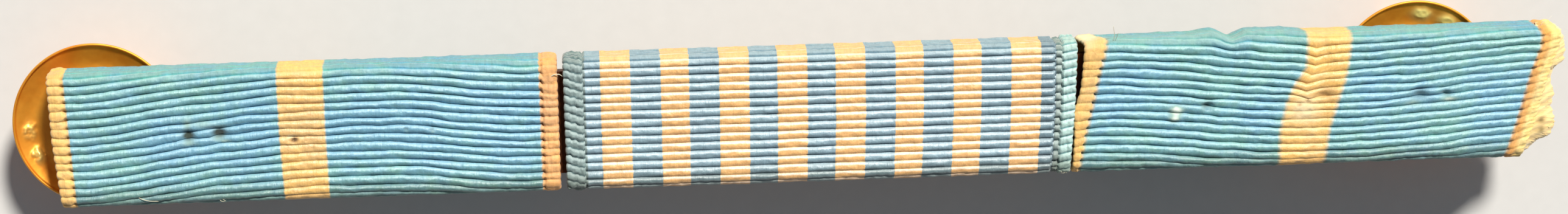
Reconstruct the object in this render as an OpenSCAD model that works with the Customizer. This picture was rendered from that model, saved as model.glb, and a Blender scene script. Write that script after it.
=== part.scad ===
// Ribbon bar: three woven ribbons wound round one brass bar, with two round clutches on its pins.
// Millimetres. +X runs along the bar, +Y towards the ribbons' top edge, +Z out of their faces.
// The origin is under the middle of the whole, on the surface that the clutches' ears rest on.

/* [Ribbons] */
// Width of a ribbon between its woven edges
ribbon_w = 34.9; // [30:0.1:40]
// Share of that width left where the left ribbon is drawn in
left_draw = 0.973; // [0.9:0.001:1]
// Height of the wound bar from its lower fold to its upper fold
pack_h = 9.3; // [8.8:0.1:10]
// Thickness of the cloth, over its ribs
cloth_t = 1; // [0.8:0.05:1.3]
// Radius of the cloth's folds round the bar's edges
fold_r = 0.8; // [0.5:0.05:1.1]
// Distance from one rib of the weave to the next
rib_pitch = 0.59; // [0.5:0.01:0.9]
// Depth of the grooves between the ribs
rib_depth = 0.2; // [0.1:0.01:0.3]
// Space at the back between a ribbon's two cut ends
back_slot = 2.6; // [2.4:0.1:4]
// Gap between two neighbouring ribbons
ribbon_gap = 0.45; // [0.3:0.05:1.2]
// How far a ribbon's woven edges are rounded off
selvage_r = 0.25; // [0.1:0.05:0.35]

/* [Mounting bar] */
// Thickness of the brass bar
bar_t = 0.8; // [0.6:0.05:1.2]
// Gap between the bar and the cloth round it
cloth_gap = 0.1; // [0.05:0.05:0.3]
// Corner radius of the bar's ends
bar_corner_r = 1; // [0.5:0.1:2]
// How far the bar stops short of the left ribbon's outer edge
bar_inset_left = 1.1; // [0.9:0.1:1.5]
// How far the bar stops short of the right ribbon's outer edge
bar_inset_right = 2.3; // [2.1:0.1:5]
// From the left ribbon's outer edge to the left pin
pin_in_left = 2.6; // [2.4:0.05:8]
// From the right ribbon's outer edge to the right pin
pin_in_right = 9.1; // [6:0.1:16]
// How far the ribbons' middle line lies below the pins
pin_rise = 0.5; // [0:0.05:0.6]
// Radius of a pin
pin_r = 0.55; // [0.4:0.05:0.7]
// Length of a pin's pointed tip
pin_tip_h = 0.9; // [0.5:0.1:1.2]

/* [Clutches] */
// Diameter of a clutch's round disc
clutch_d = 11.2; // [11:0.1:13]
// Thickness of the disc's brass sheet
sheet_t = 0.4; // [0.3:0.05:0.6]
// Depth of the disc's dish, from its floor's underside to its rim's top
dish_h = 1.3; // [1.1:0.1:1.8]
// Radius of the rolled rim
rim_r = 0.22; // [0.18:0.02:0.3]
// Width of the sloping band between the rim and the dish's floor
band_w = 0.45; // [0.3:0.05:0.8]
// Radius of the raised round marks in the dish
bump_r = 0.42; // [0.36:0.02:0.5]
// Height of the raised marks
bump_h = 0.25; // [0.2:0.01:0.3]
// Clearance round a pin in its clutch
pin_clearance = 0.15; // [0.1:0.05:0.3]
// Gap between a clutch's disc and what lies above and below it
clutch_gap = 0.15; // [0.1:0.05:0.3]
// Diameter of the clutch's housing
hub_d = 4; // [3.6:0.1:4.2]
// Thickness of the housing's floor
hub_floor_t = 0.3; // [0.2:0.05:0.5]
// Height of the housing's underside above the surface
hub_lift = 0.5; // [0.3:0.1:0.9]
// Height of a clutch's housing and ears under the disc
ears_h = 3.6; // [3.2:0.1:4.4]
// Distance from the end of one ear's foot to the other's
ears_d = 8; // [7.8:0.1:8.6]
// Width of an ear
ear_w = 4.6; // [3.5:0.1:5]
// Thickness of an ear's brass sheet
ear_t = 0.5; // [0.4:0.05:0.6]
// Inner radius of an ear's bends
ear_bend_r = 0.55; // [0.4:0.05:0.6]
// How far an ear's arm starts below the housing's top
ear_drop = 0.5; // [0.2:0.05:0.6]
// Length of an ear's flat foot past its last bend
ear_foot_l = 0.45; // [0.3:0.05:0.6]

/* [Hidden] */
$fn = 64;

brass = [0.86, 0.55, 0.16];
brass_dark = [0.72, 0.44, 0.12];
sky_blue = [0.44, 0.68, 0.8];
old_gold = [0.94, 0.68, 0.38];

// How a ribbon runs from its left edge to its right one. Rise is how far its ribs climb and lift
// how far its top fold swells, both as shares of pack_h. Face is how far its face stands proud
// or sinks, as a share of cloth_t.
ALONG = 0;
RISE = 1;
LIFT = 2;
FACE = 3;
left_sections = [
    [0.00, -0.004, 0, 0], [0.07, 0.001, 0, 0], [0.17, 0.037, 0, 0], [0.24, 0.072, 0, -0.05],
    [0.31, 0.094, 0, -0.06], [0.38, 0.119, 0, 0], [0.46, 0.136, 0, 0], [0.61, 0.141, 0, 0],
    [0.68, 0.137, 0, 0.02], [0.75, 0.118, 0, 0.03], [0.82, 0.087, 0, 0], [0.90, 0.060, 0, 0],
    [1.00, 0.050, 0, 0]
];
middle_sections = [[0, 0, 0, 0], [1, 0, 0, 0]];
right_sections = [
    [0.00, 0.010, 0, 0], [0.10, 0.000, 0, 0], [0.23, -0.038, 0.006, 0], [0.29, -0.060, 0.028, 0.1],
    [0.33, -0.078, -0.034, -0.12], [0.37, -0.090, 0.024, 0.08], [0.44, -0.108, 0.02, 0.05],
    [0.485, -0.118, 0, -0.04], [0.522, -0.134, 0, -0.14], [0.56, -0.122, 0, 0.04],
    [0.65, -0.114, 0, 0], [0.73, -0.097, 0, -0.05], [0.80, -0.080, 0, 0], [0.88, -0.048, 0, 0],
    [1.00, -0.015, 0, 0]
];

// Where a ribbon's edges lie at each height. Height runs from -1 at the lower fold to 1 at the
// upper one, and the other columns are shares of ribbon_w from the ribbon's own left end.
HEIGHT = 0;
FRONT_LEFT = 1;
BACK_LEFT = 2;
FRONT_RIGHT = 3;
BACK_RIGHT = 4;
left_edges = [
    [-0.9, 0.022, 0.02, left_draw, left_draw],
    [0.1, 0.003, 0.003, left_draw, left_draw],
    [0.9, 0, 0, left_draw, left_draw]
];
middle_edges = [
    [-0.9, 0.001, 0, 0.986, 0.988],
    [0, 0, 0, 0.995, 0.995],
    [0.9, 0, 0, 1, 1]
];
right_edges = [
    [-0.95, -0.021, -0.018, 0.874, 0.915],
    [-0.82, -0.020, -0.016, 0.882, 0.967],
    [-0.45, -0.017, -0.012, 0.895, 0.965],
    [-0.28, -0.015, -0.010, 0.903, 0.942],
    [0.28, -0.005, -0.006, 0.918, 0.960],
    [0.43, 0.000, -0.007, 0.925, 0.978],
    [0.90, 0.004, -0.010, 0.938, 0.974]
];
// How far each clutch is turned on its pin, and half the angle between two raised marks
clutch_turn_left = 197;
clutch_turn_right = 71;
marks_half_angle = 11;

// Heights above the surface
disc_z = ears_h + clutch_gap;
back_z = disc_z + dish_h + clutch_gap;
pack_t = bar_t + 2 * (cloth_gap + cloth_t);
bar_z = back_z + cloth_t + cloth_gap;

// Places along the bar, first from the left ribbon's left end, then from the middle of the whole
clutch_r = clutch_d / 2;
middle_from_left = ribbon_w * left_draw + ribbon_gap;
right_from_left = middle_from_left + ribbon_w + ribbon_gap;
right_front_w = ribbon_w * max([for (e = right_edges) e[FRONT_RIGHT]]);
right_reach_w = ribbon_w * max([for (e = right_edges) e[BACK_RIGHT]]);
wound_w = right_from_left + right_front_w;
reach_left = min(0, pin_in_left - clutch_r);
reach_right = right_from_left + right_reach_w;
left_x = -(reach_left + reach_right) / 2;
middle_x = left_x + middle_from_left;
right_x = left_x + right_from_left;
pin_left_x = left_x + pin_in_left;
pin_right_x = left_x + wound_w - pin_in_right;

// Lengths of cloth along its path round the bar, measured from the middle of the face
half_h = pack_h / 2;
front_end = half_h - fold_r;
turn_len = fold_r * PI / 2;
side_start = front_end + turn_len;
side_end = side_start + pack_t - 2 * fold_r;
back_start = side_end + turn_len;
flap_len = half_h - fold_r - back_slot / 2;
path_end = back_start + flap_len;
ribs = round(2 * path_end / rib_pitch);
samples_per_rib = 4;
samples = ribs * samples_per_rib;
rib_depths = rib_depth * [1, 0.3, 0, 0.3];

function degrees(length) = length / fold_r * 180 / PI;

// A point [y, z] on the upper half of the path, sunk below the cloth's outer surface
function upper_point(along, sunk) =
    along < front_end ? [along, pack_t - sunk]
    : along < side_start ?
        let (turn = degrees(along - front_end), r = fold_r - sunk)
        [front_end + r * sin(turn), pack_t - fold_r + r * cos(turn)]
    : along < side_end ? [half_h - sunk, pack_t - fold_r - (along - side_start)]
    : along < back_start ?
        let (turn = degrees(along - side_end), r = fold_r - sunk)
        [front_end + r * cos(turn), fold_r - r * sin(turn)]
    : [front_end - (along - back_start), sunk];

function path_point(along, sunk) =
    let (p = upper_point(abs(along), sunk))
    [along < 0 ? -p[0] : p[0], p[1]];

// The ribs climb round the face and both folds, and the cut ends at the back stay where they are
function climbed(along, rise) =
    along + rise * min(1, (path_end - abs(along)) / (flap_len + turn_len));

function outer_loop(section, sunk) = [
    for (i = [0 : samples])
        let (along = climbed(-path_end + i * 2 * path_end / samples, section[RISE] * pack_h))
        path_point(along, sunk + rib_depths[i % samples_per_rib])
];

inner_y = half_h - cloth_t;
inner_top = pack_t - cloth_t;
inner_loop = [
    [back_slot / 2, cloth_t], [inner_y, cloth_t], [inner_y, inner_top],
    [-inner_y, inner_top], [-inner_y, cloth_t], [-back_slot / 2, cloth_t]
];

// The cloth's folds and dents: the upper fold swells, and the face stands proud or sinks
function swollen(p, section) =
    let (
        high = max(0, p[0]) / half_h,
        on_face = max(0, (p[1] - inner_top) / cloth_t)
    )
    [
        p[0] + section[LIFT] * pack_h * pow(high, 6),
        p[1] + section[FACE] * cloth_t * on_face * (1 - pow(abs(p[0]) / half_h, 4) / 2)
    ];

function column(table, key, value) = [for (row = table) [row[key], row[value]]];

// Share of ribbon_w at which an edge lies, for a point [y, z]
function edge_at(edges, p, front, back) =
    let (
        high = p[0] / half_h,
        deep = min(1, max(0, (pack_t - fold_r - p[1]) / (pack_t - 2 * fold_r))),
        at_front = lookup(high, column(edges, HEIGHT, front)),
        at_back = lookup(high, column(edges, HEIGHT, back))
    )
    at_front + (at_back - at_front) * deep;

function placed(p, section, edges) =
    let (
        first = edge_at(edges, p, FRONT_LEFT, BACK_LEFT),
        last = edge_at(edges, p, FRONT_RIGHT, BACK_RIGHT),
        q = swollen(p, section)
    )
    [ribbon_w * (first + (last - first) * section[ALONG]), q[0], q[1]];

// Sections with a rounded woven edge added at each end
function with_selvages(sections) =
    let (
        end = len(sections) - 1,
        share = selvage_r / ribbon_w,
        a = sections[0],
        b = sections[end]
    )
    concat(
        [a, [share, a[RISE], a[LIFT], a[FACE]]],
        [for (i = [1 : 1 : end - 1]) sections[i]],
        [[1 - share, b[RISE], b[LIFT], b[FACE]], b]
    );

// Which inner corner closes the cloth's end next to the sample i
function corner_for(i) =
    let (along = -path_end + (i + 0.5) * 2 * path_end / samples, far = abs(along))
    let (corner = far > (back_start + path_end) / 2 ? 0 : far > (side_start + side_end) / 2 ? 1 : 2)
    along > 0 ? corner : 5 - corner;

module wound_ribbon(ribbon_sections, edges) {
    sections = with_selvages(ribbon_sections);
    last = len(sections) - 1;
    outer_n = samples + 1;
    ring_n = outer_n + len(inner_loop);
    points = [
        for (s = [0 : last])
            let (sunk = s == 0 || s == last ? selvage_r : 0)
            each [
                for (p = outer_loop(sections[s], sunk)) placed(p, sections[s], edges),
                for (p = inner_loop) placed(p, sections[s], edges)
            ]
    ];
    sides = [
        for (s = [0 : last - 1], i = [0 : ring_n - 1])
            let (
                a = s * ring_n + i,
                b = s * ring_n + (i + 1) % ring_n
            )
            each [[a, b, b + ring_n], [a, b + ring_n, a + ring_n]]
    ];
    end_cap = [
        for (i = [0 : samples - 1])
            let (corner = corner_for(i), next = i < samples - 1 ? corner_for(i + 1) : corner)
            each [
                [i, i + 1, outer_n + corner],
                if (next != corner) [i + 1, outer_n + next, outer_n + corner]
            ]
    ];
    start_cap = [for (f = end_cap) [f[2], f[1], f[0]]];
    shifted_end_cap = [for (f = end_cap) [for (v = f) v + last * ring_n]];
    polyhedron(points, concat(sides, start_cap, shifted_end_cap));
}

module ribbon_left() {
    color(sky_blue)
        translate([left_x, -pin_rise, back_z])
            wound_ribbon(left_sections, left_edges);
}

module ribbon_middle() {
    color(old_gold)
        translate([middle_x, -pin_rise, back_z])
            wound_ribbon(middle_sections, middle_edges);
}

module ribbon_right() {
    color(sky_blue)
        translate([right_x, -pin_rise, back_z])
            wound_ribbon(right_sections, right_edges);
}

// A pin stands on the bar's back and ends above the floor of its blind hole in the housing
hole_floor_z = hub_lift + hub_floor_t;
pin_low_z = hole_floor_z + pin_clearance;

module pin() {
    translate([0, 0, pin_low_z + pin_tip_h])
        cylinder(h = bar_z - pin_low_z - pin_tip_h, r = pin_r);
    translate([0, 0, pin_low_z])
        cylinder(h = pin_tip_h, r1 = pin_r / 3, r2 = pin_r);
}

// A flat strip with rounded corners, from the origin towards +X and +Y
module strip(l, w, t, r) {
    translate([r, 0, 0])
        cube([l - 2 * r, w, t]);
    translate([0, r, 0])
        cube([l, w - 2 * r, t]);
    for (x = [r, l - r], y = [r, w - r])
        translate([x, y, 0])
            cylinder(h = t, r = r);
}

module mount_bar() {
    bar_h = pack_h - 2 * (cloth_t + cloth_gap);
    bar_l = wound_w - bar_inset_left - bar_inset_right;
    color(brass_dark) {
        translate([left_x + bar_inset_left, -pin_rise - bar_h / 2, bar_z])
            strip(bar_l, bar_h, bar_t, bar_corner_r);
        for (x = [pin_left_x, pin_right_x])
            translate([x, 0, 0])
                pin();
    }
}

// Half of the disc's section: floor, sloping band and the rolled rim, with the hole for the pin
module disc_section() {
    rim_x = clutch_r - rim_r;
    rim_z = dish_h - rim_r;
    floor_x = rim_x - band_w;
    polygon([
        [pin_r + pin_clearance, 0], [floor_x, 0], [rim_x, rim_z - rim_r / 2],
        [rim_x, rim_z + rim_r / 2], [rim_x - rim_r, rim_z], [floor_x - sheet_t / 2, sheet_t],
        [pin_r + pin_clearance, sheet_t]
    ]);
    translate([rim_x, rim_z])
        circle(r = rim_r);
}

module clutch_disc(clutch_turn) {
    marks_x = clutch_r - rim_r - band_w - bump_r;
    translate([0, 0, disc_z]) {
        rotate_extrude()
            disc_section();
        for (pair = [0, 180], side = [-1, 1])
            rotate([0, 0, clutch_turn + pair + side * marks_half_angle])
                translate([marks_x, 0, sheet_t + bump_h - bump_r])
                    intersection() {
                        sphere(r = bump_r);
                        translate([-bump_r, -bump_r, 0])
                            cube([2 * bump_r, 2 * bump_r, bump_r]);
                    }
    }
}

// The housing: a round box open at its top for the pin, with a rounded lower edge
module hub_section() {
    hub_r = hub_d / 2;
    translate([0, hub_lift])
        square([hub_r - ear_t, ears_h - hub_lift]);
    translate([0, hub_lift + ear_t])
        square([hub_r, ears_h - hub_lift - ear_t]);
    translate([hub_r - ear_t, hub_lift + ear_t])
        circle(r = ear_t);
}

module hub() {
    difference() {
        rotate_extrude()
            hub_section();
        translate([0, 0, hole_floor_z])
            cylinder(h = ears_h, r = pin_r + pin_clearance);
    }
}

// A quarter ring in the first quadrant round the origin
module quarter_bend() {
    intersection() {
        difference() {
            circle(r = ear_bend_r + ear_t);
            circle(r = ear_bend_r);
        }
        square(ear_bend_r + ear_t);
    }
}

// One ear's side view: out from the housing, down a leg, and out again along the surface
module ear_section() {
    outer_r = ear_bend_r + ear_t;
    foot_x = ears_d / 2 - ear_foot_l;
    leg_x = foot_x - outer_r;
    arm_x = leg_x - ear_bend_r;
    arm_z = ears_h - ear_drop;
    translate([hub_d / 2 - ear_t, arm_z - ear_t])
        square([arm_x - hub_d / 2 + ear_t, ear_t]);
    translate([arm_x, arm_z - outer_r])
        quarter_bend();
    translate([leg_x, outer_r])
        square([ear_t, arm_z - 2 * outer_r]);
    translate([foot_x, outer_r])
        rotate(180)
            quarter_bend();
    translate([foot_x, 0])
        square([ear_foot_l, ear_t]);
}

module clutch_ears() {
    hub();
    for (turn = [0, 180])
        rotate([0, 0, turn])
            intersection() {
                translate([0, ear_w / 2, 0])
                    rotate([90, 0, 0])
                        linear_extrude(ear_w)
                            ear_section();
                cylinder(h = ears_h, r = ears_d / 2);
            }
}

module clutch_disc_left() {
    color(brass)
        translate([pin_left_x, 0, 0])
            clutch_disc(clutch_turn_left);
}

module clutch_disc_right() {
    color(brass)
        translate([pin_right_x, 0, 0])
            clutch_disc(clutch_turn_right);
}

module clutch_ears_left() {
    color(brass)
        translate([pin_left_x, 0, 0])
            rotate([0, 0, clutch_turn_left])
                clutch_ears();
}

module clutch_ears_right() {
    color(brass)
        translate([pin_right_x, 0, 0])
            rotate([0, 0, clutch_turn_right])
                clutch_ears();
}

mount_bar();
ribbon_left();
ribbon_middle();
ribbon_right();
clutch_disc_left();
clutch_disc_right();
clutch_ears_left();
clutch_ears_right();
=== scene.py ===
"""Looks of the ribbon bar: woven ribbons, brass clutches, camera and light.

Lengths below are millimetres and are turned into metres only when a mesh is made. A ribbon has
its own coordinates. `across` runs from its left woven edge to its right one and `along` runs
along the cloth, from the middle of the face over the upper fold. Ribs are counted along the cloth.
"""
import math

import bpy
import numpy as np
from mathutils import Matrix, Vector


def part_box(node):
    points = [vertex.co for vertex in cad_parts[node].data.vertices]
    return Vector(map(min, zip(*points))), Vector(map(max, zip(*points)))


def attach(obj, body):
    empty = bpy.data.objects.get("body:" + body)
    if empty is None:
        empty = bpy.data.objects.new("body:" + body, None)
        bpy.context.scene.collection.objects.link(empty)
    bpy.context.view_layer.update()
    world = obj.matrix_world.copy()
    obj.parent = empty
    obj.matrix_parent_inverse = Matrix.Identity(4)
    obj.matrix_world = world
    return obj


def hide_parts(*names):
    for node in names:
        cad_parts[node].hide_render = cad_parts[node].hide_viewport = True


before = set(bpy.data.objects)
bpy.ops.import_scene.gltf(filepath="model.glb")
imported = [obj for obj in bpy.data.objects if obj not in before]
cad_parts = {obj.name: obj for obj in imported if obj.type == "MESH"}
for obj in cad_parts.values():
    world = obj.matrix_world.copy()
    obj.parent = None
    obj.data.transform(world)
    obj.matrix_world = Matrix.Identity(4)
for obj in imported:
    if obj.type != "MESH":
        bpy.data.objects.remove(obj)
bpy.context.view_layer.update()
MM = 0.001

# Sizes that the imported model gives
MIDDLE_LOW, MIDDLE_HIGH = (np.array(corner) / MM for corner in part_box("ribbon_middle"))
LEFT_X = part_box("ribbon_left")[0][0] / MM
MIDDLE_X = MIDDLE_LOW[0]
BACK_Z = MIDDLE_LOW[2]
FACE_Z = MIDDLE_HIGH[2]
PACK_T = FACE_Z - BACK_Z
HALF_H = (MIDDLE_HIGH[1] - MIDDLE_LOW[1]) / 2
MID_Y = (MIDDLE_HIGH[1] + MIDDLE_LOW[1]) / 2
RIBBON_W = MIDDLE_HIGH[0] - MIDDLE_LOW[0]

# Sizes shared with part.scad
RIBBON_GAP = 0.45
RIGHT_X = MIDDLE_HIGH[0] + RIBBON_GAP
FOLD_R = 0.8
BACK_SLOT = 2.6
RIBS = 35
FRONT_END = HALF_H - FOLD_R
TURN = FOLD_R * math.pi / 2
SIDE_START = FRONT_END + TURN
SIDE_END = SIDE_START + PACK_T - 2 * FOLD_R
BACK_START = SIDE_END + TURN
FLAP = HALF_H - FOLD_R - BACK_SLOT / 2
CLOTH_END = BACK_START + FLAP
PITCH = 2 * CLOTH_END / RIBS


# ---- Small tools ------------------------------------------------------------------------------

def smooth(t):
    t = np.clip(t, 0, 1)
    return t * t * (3 - 2 * t)


def bell(t):
    """1 at t = 0, falling smoothly to nearly nothing at t = 2."""
    return np.exp(-np.square(t))


def noise(a, b, seed):
    """Smooth noise from -1 to 1 over a plane, the same on each run."""
    size = 256
    table = np.random.default_rng(seed).uniform(-1, 1, (size, size))
    i, j = np.floor(a).astype(int), np.floor(b).astype(int)
    s, t = smooth(a - i), smooth(b - j)
    i, j, i2, j2 = i % size, j % size, (i + 1) % size, (j + 1) % size
    low = table[i, j] * (1 - s) + table[i2, j] * s
    high = table[i, j2] * (1 - s) + table[i2, j2] * s
    return low * (1 - t) + high * t


def softened(stations, values, at, width):
    """Table values at the places `at`, with the table's corners rounded over `width`."""
    taps = np.linspace(-1, 1, 9)
    weights = 1 - np.abs(taps) * 0.8
    total = sum(w * np.interp(at + tap * width, stations, values) for tap, w in zip(taps, weights))
    return total / weights.sum()


def mesh_object(name, points, faces, material, attributes=None):
    """A piece of the bar, riding on its one body. Points are in mm, attributes one row a point."""
    mesh = bpy.data.meshes.new(name)
    mesh.from_pydata((np.asarray(points) * MM).tolist(), [], faces)
    for key, values in (attributes or {}).items():
        layer = mesh.attributes.new(key, "FLOAT_VECTOR", "POINT")
        layer.data.foreach_set("vector", np.ascontiguousarray(values, dtype=np.float32).ravel())
    mesh.materials.append(material)
    mesh.shade_smooth()
    mesh.validate()
    mesh.update()
    piece = bpy.data.objects.new(name, mesh)
    bpy.context.scene.collection.objects.link(piece)
    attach(piece, "root")
    return piece


# ---- The cloth's path round the bar -----------------------------------------------------------

def path_point(along, sunk):
    """Across the bar and up, `sunk` below the cloth's outer surface."""
    far = np.abs(along)
    r = np.maximum(FOLD_R - sunk, 0.12)
    centre_y = HALF_H - sunk - r
    turn_1 = np.clip((far - FRONT_END) / TURN, 0, 1) * math.pi / 2
    turn_2 = np.clip((far - SIDE_END) / TURN, 0, 1) * math.pi / 2
    face = np.clip(far / FRONT_END, 0, 1)
    side = np.clip((far - SIDE_START) / (SIDE_END - SIDE_START), 0, 1)
    flap = np.maximum(far - BACK_START, 0) / FRONT_END
    y = centre_y * (face - flap) + r * (np.sin(turn_1) + np.cos(turn_2) - 1)
    z = PACK_T - sunk - r * (1 - np.cos(turn_1) + np.sin(turn_2)) - side * (PACK_T - 2 * sunk - 2 * r)
    return np.sign(along) * y, z


def by_height(table, height, column):
    rows = np.array(table)
    return np.interp(height, rows[:, 0], rows[:, 1 + column])


def place_across(look, across, height, deep):
    """Where a point `across` the flat ribbon lies, from the ribbon's left end."""
    marks = look["marks"]
    spots = [
        by_height(look["front"], height, i) * (1 - deep) + by_height(look["back"], height, i) * deep
        for i in range(len(marks))
    ]
    x = np.zeros_like(across)
    for i in range(len(marks) - 1):
        t = (across - marks[i]) / (marks[i + 1] - marks[i])
        inside = (t >= 0) & (t < 1)
        if i == 0:
            inside |= t < 0
        if i == len(marks) - 2:
            inside |= t >= 1
        x = np.where(inside, spots[i] + (spots[i + 1] - spots[i]) * t, x)
    return x


# ---- The ribs and the woven edges -------------------------------------------------------------
# Each edge style takes the distance from the ribbon's edge and the rib count, and gives a shift
# of the ribs along the cloth, a depth factor for the grooves, an extra sink and a push outwards.

def beads(d, rib):
    """One soft bead for each rib, with a deep notch next to the body."""
    crest = 1 - np.square(2 * (rib % 1) - 1)
    zone = smooth((1.3 - d) / 0.2)
    shift = 0.12 * noise(d * 0, np.round(rib), 11) * zone
    depth = 1 - zone * 0.55 + 1.1 * bell((d - 1.20) / 0.14)
    sink = 0.10 * bell((d - 1.27) / 0.10) * (1 - crest) - 0.07 * bell((d - 0.75) / 0.4)
    return shift, depth, sink, 0.08 * crest


def cells(d, rib):
    """Flat cells with fine threads along the ribbon, and a deep notch next to the body."""
    crest = 1 - np.square(2 * (rib % 1) - 1)
    zone = smooth((1.25 - d) / 0.15)
    shift = zone * (0.12 + 0.16 * noise(d * 0, np.round(rib), 12))
    depth = 1 - 0.66 * zone + 0.9 * bell((d - 1.22) / 0.12)
    sink = 0.10 * bell((d - 1.22) / 0.09) * (1 - 0.6 * crest)
    sink = sink + zone * 0.03 * noise(d / 0.15, rib * 1.4, 13)
    sink = sink + 0.16 * np.square(np.clip(0.7 - d, 0, 0.7))
    return shift, depth, sink - 0.02 * zone * crest, 0.05 * crest


def rope(d, rib):
    """Three staggered rows of flat bumps that step down towards the body."""
    zone = smooth((1.30 - d) / 0.08)
    step = np.clip(d, 0, 1.25) / 0.42
    stair = np.floor(step) + smooth((step % 1) * 3 - 2)
    shift = zone * (0.19 * stair + 0.05 * step + 0.10 * noise(step * 1.3, rib * 0.9, 17))
    bump = np.abs(np.sin(math.pi * step))
    depth = 1 - zone * (0.42 - 0.25 * noise(step, np.round(rib) * 1.7, 18))
    sink = zone * (0.045 * (1 - np.power(bump, 0.4))) + 0.12 * bell((d - 1.28) / 0.07)
    sink = sink + zone * 0.06 * noise(d / 0.15, rib * 2.3, 14)
    return shift, depth, sink, 0.06 * (1 - np.square(2 * (rib % 1) - 1))


def braid(d, rib):
    """A narrow inner row half a rib out of step, and an outer one that climbs outwards."""
    wander = 0.05 * noise(rib * 1.3, 0 * rib, 19)
    inner = smooth((1.50 - d) / 0.06) * smooth((d - 0.98 - wander) / 0.06)
    outer = smooth((1.02 + wander - d) / 0.06)
    shift = -0.5 * inner - outer * (0.05 + 0.34 * (1 - d / 1.0)) + 0.25 * inner * noise(rib, d * 0, 20)
    depth = 1 + 0.15 * inner - 0.30 * outer
    sink = 0.07 * inner + 0.17 * bell((d - 1.50) / 0.07) + 0.15 * bell((d - 1.0) / 0.07)
    sink = sink - 0.04 * outer + (inner + outer) * 0.05 * noise(d / 0.13, rib * 2, 15)
    return shift, depth, sink, 0.07 * (1 - np.square(2 * (rib % 1) - 1))


def blocks(d, rib):
    """Wide flat blocks with thin seams, rounded where they meet the body."""
    crest = 1 - np.square(2 * (rib % 1) - 1)
    zone = smooth((1.30 - d) / 0.15)
    shift = zone * (0.16 * noise(d * 0, np.round(rib), 16) - 0.08 * d)
    depth = 1 - 0.72 * zone + 0.9 * bell((d - 1.26) / 0.12)
    sink = 0.10 * bell((d - 1.30) / 0.09) * (1 - 0.7 * crest) - 0.05 * bell((d - 1.0) / 0.25) * crest
    sink = sink + zone * 0.12 * np.square(np.clip(0.8 - d, 0, 0.8))
    return shift, depth, sink, 0.06 * crest


def ribbed(d, rib):
    """The ribs run on to the edge, narrower and slanting up."""
    crest = 1 - np.square(2 * (rib % 1) - 1)
    zone = smooth((1.30 - d) / 0.2)
    shift = -zone * 0.45 * np.clip(1.3 - d, 0, 1.3)
    depth = 1 - 0.6 * zone + 0.5 * bell((d - 1.3) / 0.12)
    sink = 0.06 * bell((d - 1.30) / 0.10) - 0.03 * zone * crest
    sink = sink + zone * 0.05 * noise(d / 0.3, rib * 1.6, 21)
    return shift, depth, sink, 0.10 * crest


def spots(look, key, x, y):
    """How strongly the listed spots mark a point. A spot is (x, y, half width, half height, much)."""
    total = np.zeros_like(x)
    for spot_x, spot_y, half_w, half_h, much in look.get(key, []):
        total += much * bell(np.hypot((x - spot_x) / half_w, (y - spot_y) / half_h))
    return total


# Depths of the rounded ribs and of the sharp groove between them, and how far a rib is round
DOME = 0.22
GROOVE = 0.07
ROUND = 0.78
# Thickness of the cloth in its body and at its woven edges, and how far the edges are rounded
CLOTH_T = 0.92
EDGE_T = 0.46
EDGE_R = 0.2


def ring_columns():
    """One loop round the cloth's section: outer surface, right edge, inner surface, left edge."""
    edge = np.arange(EDGE_R, 1.62, 0.07)
    body = np.linspace(1.66, RIBBON_W - 1.66, 244)
    outer = np.concatenate([edge, body, RIBBON_W - edge[::-1]])
    turn = np.radians(np.arange(22.5, 179, 22.5))
    inner = np.array([0.2, 0.5, 0.8, 1.1, 1.5, 2.2, 3.5, 8.0])
    inner = np.concatenate([inner, RIBBON_W - inner[::-1]])
    across = np.concatenate([
        outer,
        RIBBON_W - EDGE_R * (1 - np.sin(turn)),
        inner[::-1],
        EDGE_R * (1 - np.sin(turn[::-1])),
    ])
    half = EDGE_T / 2
    from_edge = np.minimum(inner, RIBBON_W - inner)
    inner_depth = EDGE_T + (CLOTH_T - EDGE_T) * smooth((from_edge - 0.5) / 3)
    depth = np.concatenate([
        0 * outer, half * (1 - np.cos(turn)), inner_depth[::-1], half * (1 - np.cos(turn[::-1]))
    ])
    out = np.concatenate([
        0 * outer + 1, (1 + np.cos(turn)) / 2, 0 * inner, (1 + np.cos(turn[::-1])) / 2
    ])
    return across, depth, out, len(outer), len(turn)


# Where a rib has rows of points, as shares of it, on the sides that show and behind
FACE_PHASES = [0, 0.06, 0.15, 0.27, 0.41, 0.55, 0.69, 0.82, 0.93]
BACK_PHASES = [0, 0.12, 0.35, 0.6, 0.85]


def zip_strip(a, b, flip):
    """Triangles between two runs of vertices of different length."""
    faces, i, j = [], 0, 0
    while i < len(a) - 1 or j < len(b) - 1:
        if j == len(b) - 1 or (i < len(a) - 1 and i / (len(a) - 1) <= j / (len(b) - 1)):
            face = (a[i], a[i + 1], b[j])
            i += 1
        else:
            face = (a[i], b[j + 1], b[j])
            j += 1
        faces.append(face[::-1] if flip else face)
    return faces


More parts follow.
